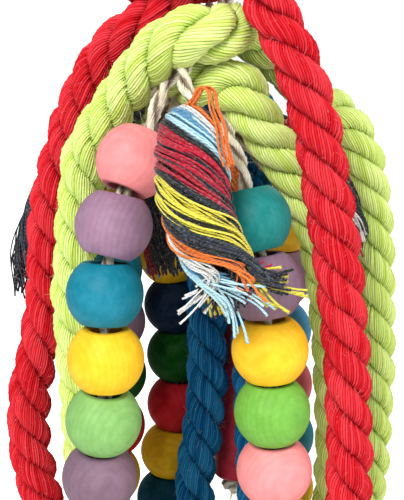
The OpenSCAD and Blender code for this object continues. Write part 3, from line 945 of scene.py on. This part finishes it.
dowel_top = np.array(STRING_ROUTES["dowel"][0], float)
down = np.array([0, 0, -1.0])
dowel_low = dowel_top + down * (DOWEL_DROP + DOWEL_L)
crimson_dowel = dyed_wood("wood_crimson_smooth", (168, 24, 44), (118, 12, 28), 0.3)
turned("chew_dowel_wood", dowel_profile(), DOWEL_SIDES, crimson_dowel, "chew_dowel",
       dowel_top + down * (DOWEL_DROP + DOWEL_L / 2), (0, 0, 1))
dowel_stop = dowel_low + down * (BEAD_GAP + KNOT_H / 2)
marks = np.linspace(SWING_GAP, DOWEL_DROP + DOWEL_L + BEAD_GAP + KNOT_H / 2 + CORD_TAIL, 12)
carried_cord("cord_dowel", dowel_top + marks[:, None] * down, dowel_stop, -down, "dowel_string",
             0.5)

# Neck: sisal core, tie and leads
core = laid_cord("neck_core_sisal", smooth_curve([CORE_TOP, CORE_LOW]), False, sisal, "rope_cage",
                 1.8, 1.75, 3, 30, 11, 1.2)[0]
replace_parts(core, "neck_core")


def fixed_cord(name, points, phase):
    """Sisal cord of the neck, with loose hairs. One long enough is declared."""
    piece, centre, length = sisal_cord(name, smooth_curve(points), False, "rope_cage", 24, 1.2, 0.5,
                                       phase)
    hairs = rope_fibres(name + "_hair", centre, False, SISAL_D / 2, int(length * SISAL_HAIRS_A_MM),
                        sisal_hair, "rope_cage", longest=6, thick=0.06)
    return piece


tie = fixed_cord("rear_tie_sisal", TIE_ROUTE, 0.3)
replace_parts(tie, "rear_tie")
leads = []
for k, (lead, route) in enumerate(LEAD_ROUTES.items()):
    carried = lead in STRING_ROUTES
    points = route + [STRING_ROUTES[lead][0]] if carried else route
    leads.append(fixed_cord("lead_" + lead, points, 0.6 * k))
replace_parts(leads[0], "sisal_leads")

# Tassels: hanks of yarn, twisted round the middle line, with the yarns' ends loose at the bottom
YARN_TINTS = {
    "white": (232, 232, 226), "pale": (182, 222, 232), "sky": (84, 150, 186), "grey": (46, 52, 62),
    "black": (26, 29, 36), "crimson": (186, 14, 44), "yellow": (232, 218, 70),
    "orange": (232, 118, 36), "navy": (18, 42, 84), "wine": (128, 14, 32),
}
TASSEL_SHARE = (0.62, 0.86, 0.96, 0.9, 0.9, 1, 0.8)
FRONT = np.array([0, -0.98, 0.2])


def tint_of(name, count):
    """Colours of a group's yarns, a little apart from each other."""
    base = np.array(linear(YARN_TINTS[name])[:3])
    varied = base * (1 + rng.normal(0, 0.09, (count, 1)))
    return np.clip(varied + rng.normal(0, 0.004, (count, 3)), 0, 1)


def ripple(s, rate, count):
    """Wave along each of count yarns, each at a phase of its own."""
    return np.sin(s * rate + rng.uniform(0, TAU, (count, 1)))


def fallen(path, ends, spread, first, loose):
    """Yarns that leave the twist at their point first and fall to where their ends go."""
    count = len(path)
    goal = np.array(ends, float) + rng.normal(0, spread, (count, 3)) * (1, 0.6, 1)
    root = path[:, first]
    reach = np.linalg.norm(goal - root, axis=1)[:, None, None]
    reach = reach * rng.uniform(0.8, 1.0, (count, 1, 1))
    free = root[:, None] + normalized(goal - root)[:, None] * reach * loose[None, :, None]
    free[..., 2] -= loose[None] ** 2 * rng.uniform(0.3, 1.4, (count, 1)) * 2.2
    blend = (loose**1.2)[None, :, None]
    return path * (1 - blend) + free * blend


def cut_to_length(path, s):
    """Yarns cut to lengths of their own."""
    count, knots = path.shape[:2]
    cut = s * rng.uniform(0.84, 1.0, (count, 1)) * (knots - 1)
    here = np.minimum(cut.astype(int), knots - 2)
    row = np.arange(count)[:, None]
    return path[row, here] + (path[row, here + 1] - path[row, here]) * (cut - here)[..., None]


def hank(name, route, thickness, lay, groups, layers, let_go, spread, lead_in=0.0):
    """Twisted hank in place of its solid, tightest at its fold.

    groups are (tint, share of the turn, where its ends go), in the order in which they come down
    the front after the lead-in, a share of a turn, and layers are (share of the radius, yarns).
    """
    centre, length = even_steps(smooth_curve(route), TASSEL_STEP)
    knots = len(centre)
    s = np.linspace(0, 1, knots)
    side, other = side_frames(headings(centre))
    marks = np.arange(len(TASSEL_SHARE))
    radius = thickness / 2 * np.interp(s * marks[-1], marks, TASSEL_SHARE)
    dome = np.clip(s * length / (radius * 0.9), 0, 1)
    radius = radius * np.sqrt(np.clip(1 - (1 - dome) ** 2, 0.04, 1))
    shares = np.cumsum([0] + [share for _, share, _ in groups])
    shares = shares / shares[-1]
    front = math.atan2(other[0] @ FRONT, side[0] @ FRONT)
    tight, slack = lay
    turn = front + TAU * (lead_in - length / (slack - tight) * np.log(1 + (slack / tight - 1) * s))
    loose = np.clip((s - let_go) / (1 - let_go), 0, 1)
    lines, radii, tints = [], [], []
    for share_r, count in layers:
        for k, (tint, _, ends) in enumerate(groups):
            width = shares[k + 1] - shares[k]
            mine = max(int(round(count * width)), 1)
            order = np.arange(mine)
            angle = TAU * (shares[k] + width * (order + 0.5) / mine) + rng.normal(0, 0.05, mine)
            lift = share_r + rng.normal(0, 0.03, mine)
            slip = 0.12 * ripple(s, 7, mine) + 0.05 * ripple(s, 23, mine)
            out = around(angle[:, None] + turn[None] + slip, side, other)
            wave = 1 + 0.05 * ripple(s, 15, mine)
            path = centre + out * (radius * lift[:, None] * wave)[..., None]
            if ends is not None:
                path = fallen(path, ends, spread, int(let_go * (knots - 1)), loose)
            flare = rng.normal(0, spread * (0.7 if ends is None else 0.3), (mine, 1, 3))
            kink = rng.normal(0, 0.6, (mine, 1, 3)) * np.sin(s * 19 + 2 * order[:, None])[..., None]
            path = path + (flare + kink) * loose[None, :, None] ** 1.5
            lines.append(cut_to_length(path, s))
            thick = YARN_R * rng.uniform(0.8, 1.25, (mine, 1)) * (1 + 0.08 * ripple(s, 110, mine))
            radii.append(thick * np.interp(s, [0.94, 1], [1, 1.4]))
            tints.append(tint_of(tint, mine))
    lines, tints = np.concatenate(lines), np.concatenate(tints)
    piece = yarns_piece(name + "_yarns", lines, np.concatenate(radii), tints, name)
    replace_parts(piece, name)
    return lines, tints


def yarn_fluff(name, lines, how_many, longest):
    """Fluff along yarns, more towards their ends."""
    pick = rng.integers(0, len(lines), how_many)
    final = lines.shape[1] - 1
    at = (rng.beta(2.0, 1.2, how_many) * final).astype(int)
    way = normalized(lines[pick, np.minimum(at + 1, final)] - lines[pick, np.maximum(at - 1, 0)])
    out = square_to(way, normalized(rng.normal(0, 1, (how_many, 3))))
    bent = normalized(way + rng.normal(0, 0.6, (how_many, 3)))
    fibres(name + "_fluff", lines[pick, at], out, bent,
           longest * rng.beta(1.4, 2.5, how_many) + 0.5, black_nap, name, thick=0.045)


front_groups = [
    ("orange", 0.06, (16, -74, -184)), ("white", 0.07, (-7, -70, -193)),
    ("sky", 0.07, (8, -62, -188)), ("pale", 0.04, (10, -75, -206)), ("pale", 0.03, (20, -76, -194)),
    ("black", 0.04, (0, -67, -196)), ("crimson", 0.1, (18, -63, -184)),
    ("black", 0.04, (13, -72, -193)), ("crimson", 0.06, (12, -62, -182)),
    ("grey", 0.03, (10, -70, -194)), ("crimson", 0.05, (20, -63, -184)),
    ("black", 0.07, (29, -73, -183)), ("yellow", 0.08, (32, -71, -186)),
    ("black", 0.04, (14, -74, -192)), ("yellow", 0.05, (22, -74, -193)),
    ("grey", 0.06, (28, -74, -183)), ("black", 0.06, (5, -69, -195)),
]
front_layers = [(0.97, 104), (0.82, 80), (0.6, 56), (0.3, 20)]
front_lines, front_tints = hank("tassel_front", TASSEL_ROUTES["front"], TASSEL_FRONT_D, (38, 60),
                                front_groups, front_layers, 0.58, 3.0, lead_in=0.09)
dark = front_tints.sum(axis=1) < 0.3
yarn_fluff("tassel_front", front_lines[dark], 1500, 2.6)

# Orange yarns that stand off the front tassel's fold in a loop
LOOP_ROUTE = [
    (-6, -54, -135), (-4, -55, -132), (-2, -55, -129), (1, -56, -130), (2, -58, -135),
    (4, -60, -140), (5, -63, -146), (7, -66, -153), (8, -68, -161),
]
LOOP_YARNS = 9
loops = []
for _ in range(LOOP_YARNS):
    sway = np.linspace(0, 1, len(LOOP_ROUTE))[:, None]
    drift = rng.normal(0, 0.7, 3) + sway * rng.normal(0, 1.2, 3)
    loops.append(even_steps(smooth_curve(np.array(LOOP_ROUTE, float) + drift), 0.9)[0][:40])
short = min(len(path) for path in loops)
loops = np.stack([path[:short] for path in loops])
yarns_piece("tassel_front_loop", loops, np.full(loops.shape[:2], 0.3),
            tint_of("orange", LOOP_YARNS), "tassel_front")

SIDE_TASSELS = {
    "left": {"black": 0.4, "navy": 0.2, "wine": 0.15, "grey": 0.25},
    "right": {"crimson": 0.3, "black": 0.3, "white": 0.08, "wine": 0.2, "grey": 0.12},
    "inner_left": {"navy": 0.35, "black": 0.3, "wine": 0.2, "sky": 0.15},
    "inner_right": {"orange": 0.3, "crimson": 0.3, "yellow": 0.2, "wine": 0.2},
}
side_layers = [(0.95, 60), (0.72, 36), (0.4, 14)]
for tassel, tint_shares in SIDE_TASSELS.items():
    groups = [(tint, share, None) for tint, share in tint_shares.items()]
    lines, _ = hank("tassel_" + tassel, TASSEL_ROUTES[tassel], TASSEL_SIDE_D * 0.86, (60, 130),
                    groups, side_layers, 0.62, 1.5)
    yarn_fluff("tassel_" + tassel, lines, 500, 2.4)

# Steel: link, nut and ring
side_x = (LINK_INNER_W + LINK_WIRE) / 2
top_z = -LINK_INNER_W / 2
low_z = top_z - (LINK_INNER_L - LINK_INNER_W)


def link_wire():
    """Wire of the quick link, from one side of its opening round to the other, with its threads."""
    bend_low = arc(0, low_z, side_x, 0, -180, 40)
    bend_top = arc(0, top_z, side_x, 180, 0, 40)
    gap_low = top_z - NUT_LEAD - LINK_GAP
    flat = np.vstack([
        upright(side_x, gap_low, low_z, 200), bend_low[1:],
        upright(-side_x, low_z, top_z, 14)[1:-1], bend_top,
        upright(side_x, top_z, top_z - NUT_LEAD, 30)[1:],
    ])
    path = np.stack([flat[:, 0], 0 * flat[:, 0], flat[:, 1]], 1)
    side, other = side_frames(headings(path))
    a = angles(WIRE_SIDES)
    along = distances(path)
    from_end = along[-1] - along
    threaded = np.maximum(np.clip((NUT_L + 7 - along) / 0.6, 0, 1),
                          np.clip((NUT_LEAD - 0.3 - from_end) / 0.3, 0, 1))
    turn = TAU * along / THREAD_PITCH
    cut = THREAD_DEPTH * (0.5 + 0.5 * np.cos(a[None] + turn[:, None])) * threaded[:, None]
    tip = np.minimum(np.minimum(along, from_end) / 0.5, 1)
    radius = LINK_WIRE / 2 - cut - 0.4 * (1 - tip)[:, None]
    verts = path[:, None] + around(a, side[:, None], other[:, None]) * radius[..., None]
    faces = tube_faces(1, len(path), WIRE_SIDES)
    return new_piece("quick_link_wire", verts, faces, steel, "quick_link")


def sleeve_nut():
    """Hexagonal sleeve nut with turned ends and a bore."""
    a = angles(NUT_SIDES)
    sector = (a + math.pi / 6) % (math.pi / 3) - math.pi / 6
    hexagon = NUT_FLATS / 2 / np.cos(sector)
    corner = NUT_FLATS / math.sqrt(3)
    half = NUT_L / 2
    bore = LINK_WIRE / 2 + 0.05

    def level(radius, z):
        return np.stack([radius * np.cos(a), radius * np.sin(a), 0 * a + z], 1)

    rows = []
    for z in (-half, -half + 0.12, -half + 0.35, -half + 0.7, -half + 1.1, 0,
              half - 1.1, half - 0.7, half - 0.35, half - 0.12, half):
        crown = NUT_FLATS / 2 - 0.35 + (half - abs(z)) * 1.1 + (0.2 if half - abs(z) > 0 else 0)
        rows.append(level(np.minimum(hexagon, min(crown, corner - 0.12)), z))
    for z, r in ((half, bore + 0.45), (half - 0.45, bore), (0, bore), (0.45 - half, bore),
                 (-half, bore + 0.45)):
        rows.append(level(r, z))
    verts = np.vstack(rows) + (side_x, 0, top_z - half)
    faces = [grid_faces(len(rows), NUT_SIDES, True)]
    return new_piece("link_nut_sleeve", verts, faces, nut_steel, "link_nut", smooth=False)


def welded_ring():
    """Ring of round wire with a low weld bead where its ends meet."""
    count, sides = 160, 28
    b, a = angles(count), angles(sides)
    near = np.exp(-(((b - math.pi / 3) / 0.055) ** 2))
    rough = 0.06 * np.sin(b * 130)[:, None] * np.cos(3 * a)[None]
    radius = RING_WIRE / 2 * (1 + 0 * a[None]) + near[:, None] * (0.28 + rough)
    ring_at = ring_r + radius * np.cos(a)[None]
    verts = np.stack([radius * np.sin(a)[None], ring_at * np.cos(b)[:, None],
                      ring_z + ring_at * np.sin(b)[:, None]], -1)
    faces = [grid_faces(count, sides, True)]
    return new_piece("hanging_ring_wire", verts, faces, steel, "hanging_ring")


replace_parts(link_wire(), "quick_link")
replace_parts(sleeve_nut(), "link_nut")
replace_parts(welded_ring(), "hanging_ring")

# Stage: pale sweep and soft light, in metres
FLOOR_HALF = 6
FLOOR_Z = -0.415
sheet = bpy.data.meshes.new("floor")
corners = [(x * FLOOR_HALF, y * FLOOR_HALF, 0) for x, y in ((-1, -1), (1, -1), (1, 1), (-1, 1))]
sheet.from_pydata(corners, [], [(0, 1, 2, 3)])
floor = new_object("floor", sheet)
floor.location.z = FLOOR_Z
paper = Nodes("paper")
paper.feed_named(paper.shader, {"Emission Strength": paper.seen(0, 0.72)})
sheet.materials.append(paper.finish((0.86, 0.86, 0.86, 1), 0.9, Specular_IOR_Level=0.0,
                                    Emission_Color=(1, 1, 1, 1)))

world = bpy.data.worlds.new("studio")
bpy.context.scene.world = world
studio = Nodes("studio", world, "Background")
studio.feed_named(studio.shader, {"Color": (1, 1, 1, 1), "Strength": studio.seen(0.4, 1.15)})


def soft_light(name, place, size, watts):
    """Square lamp that looks at the middle of the swing."""
    data = bpy.data.lights.new(name, "AREA")
    data.size, data.energy = size, watts
    lamp = new_object(name, data)
    lamp.location = place
    look = Vector((0, 0, -0.2)) - Vector(place)
    lamp.rotation_euler = look.to_track_quat("-Z", "Y").to_euler()


soft_light("key", (-0.45, -1.25, 0.75), 0.6, 27)
soft_light("fill", (1.2, -0.9, 0.2), 1.2, 10)
soft_light("back", (0.3, 1.4, 0.8), 1.2, 12)
